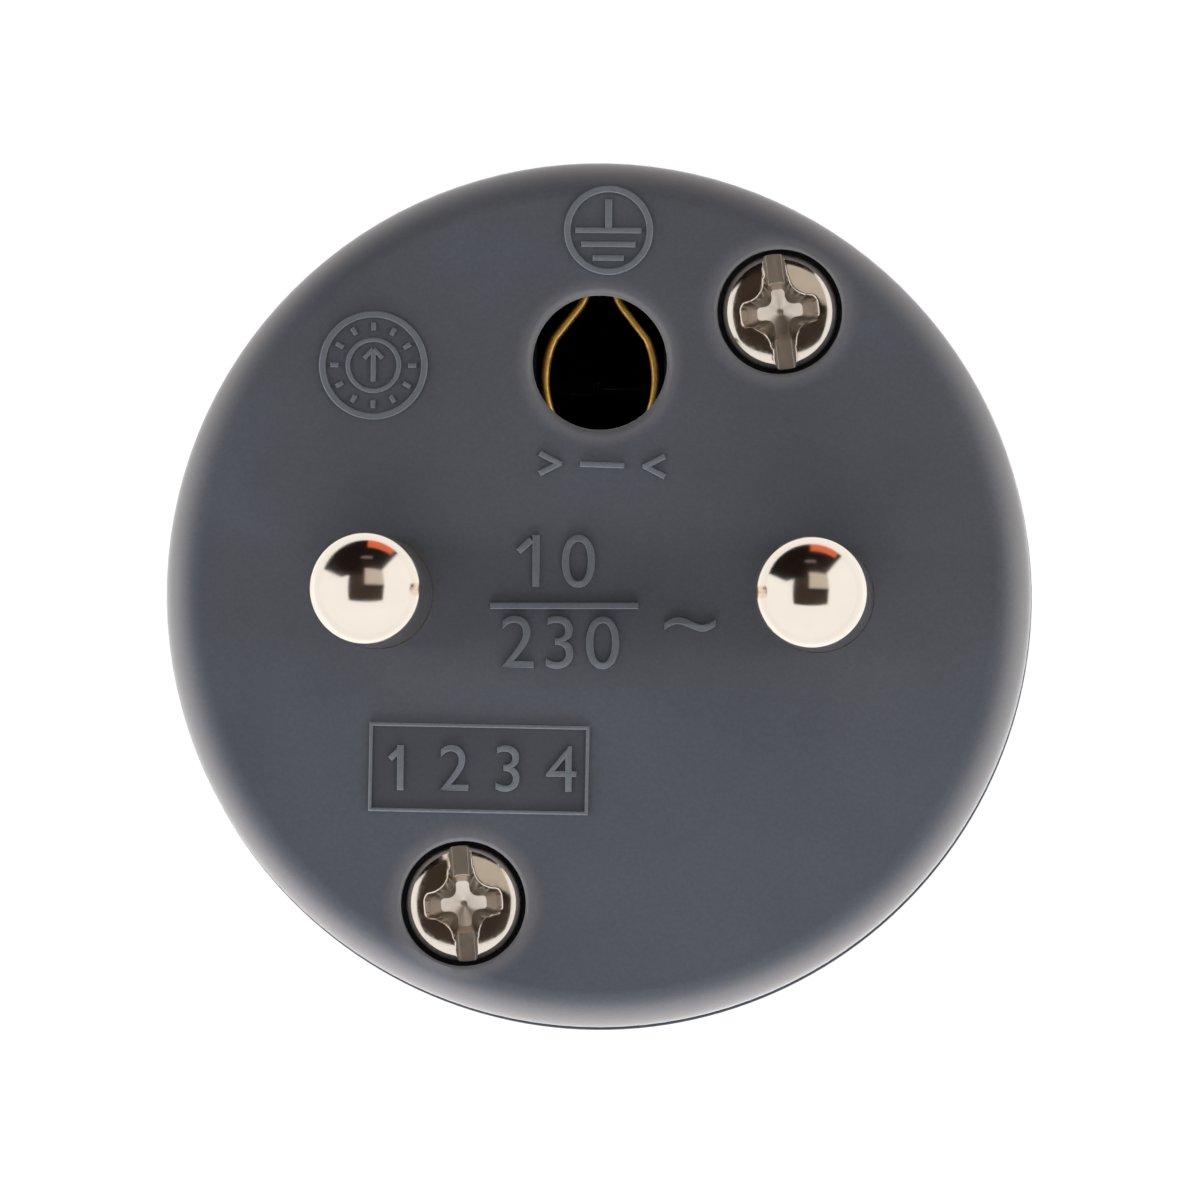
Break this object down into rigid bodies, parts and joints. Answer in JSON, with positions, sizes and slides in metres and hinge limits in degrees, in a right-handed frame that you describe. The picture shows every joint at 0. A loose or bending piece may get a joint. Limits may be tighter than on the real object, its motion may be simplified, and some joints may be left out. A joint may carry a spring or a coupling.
{
  "type": "male power plug",
  "caption": "Round earthed mains plug with rounded contact pins, an earth socket hole, sunk housing screws and a bell-shaped grip cover with a straight cord inlet.",
  "frame": {"origin": "centre of the flat cord end of the cover, on which the plug stands", "axes": "+Z along the contact pins away from the cord end, +X towards the right-hand pin, +Y towards the earth socket hole"},
  "size_m": [0.0375, 0.0374, 0.065],
  "materials": {
    "housing_plastic": "fine spark-eroded texture, dark grey polypropylene",
    "plated_pin": "bright nickel plating on brass",
    "plated_screw": "nickel plating on steel",
    "contact_brass": "bare strip brass",
    "clamp_plastic": "moulded"
  },
  "bodies": {
    "root": {"front_base": "housing_plastic", "rear_cover": "housing_plastic", "left_pin": "plated_pin", "right_pin": "plated_pin", "left_terminal_screw": "plated_screw", "right_terminal_screw": "plated_screw", "earth_contact": "contact_brass", "earth_terminal_screw": "plated_screw", "earth_clamp_washer": "plated_screw", "earth_terminal_nut": "contact_brass", "cord_clamp_bar": "clamp_plastic", "left_clamp_screw": "plated_screw", "right_clamp_screw": "plated_screw", "upper_assembly_screw": "plated_screw", "lower_assembly_screw": "plated_screw", "upper_assembly_nut": "plated_screw", "lower_assembly_nut": "plated_screw"}
  },
  "joints": []
}
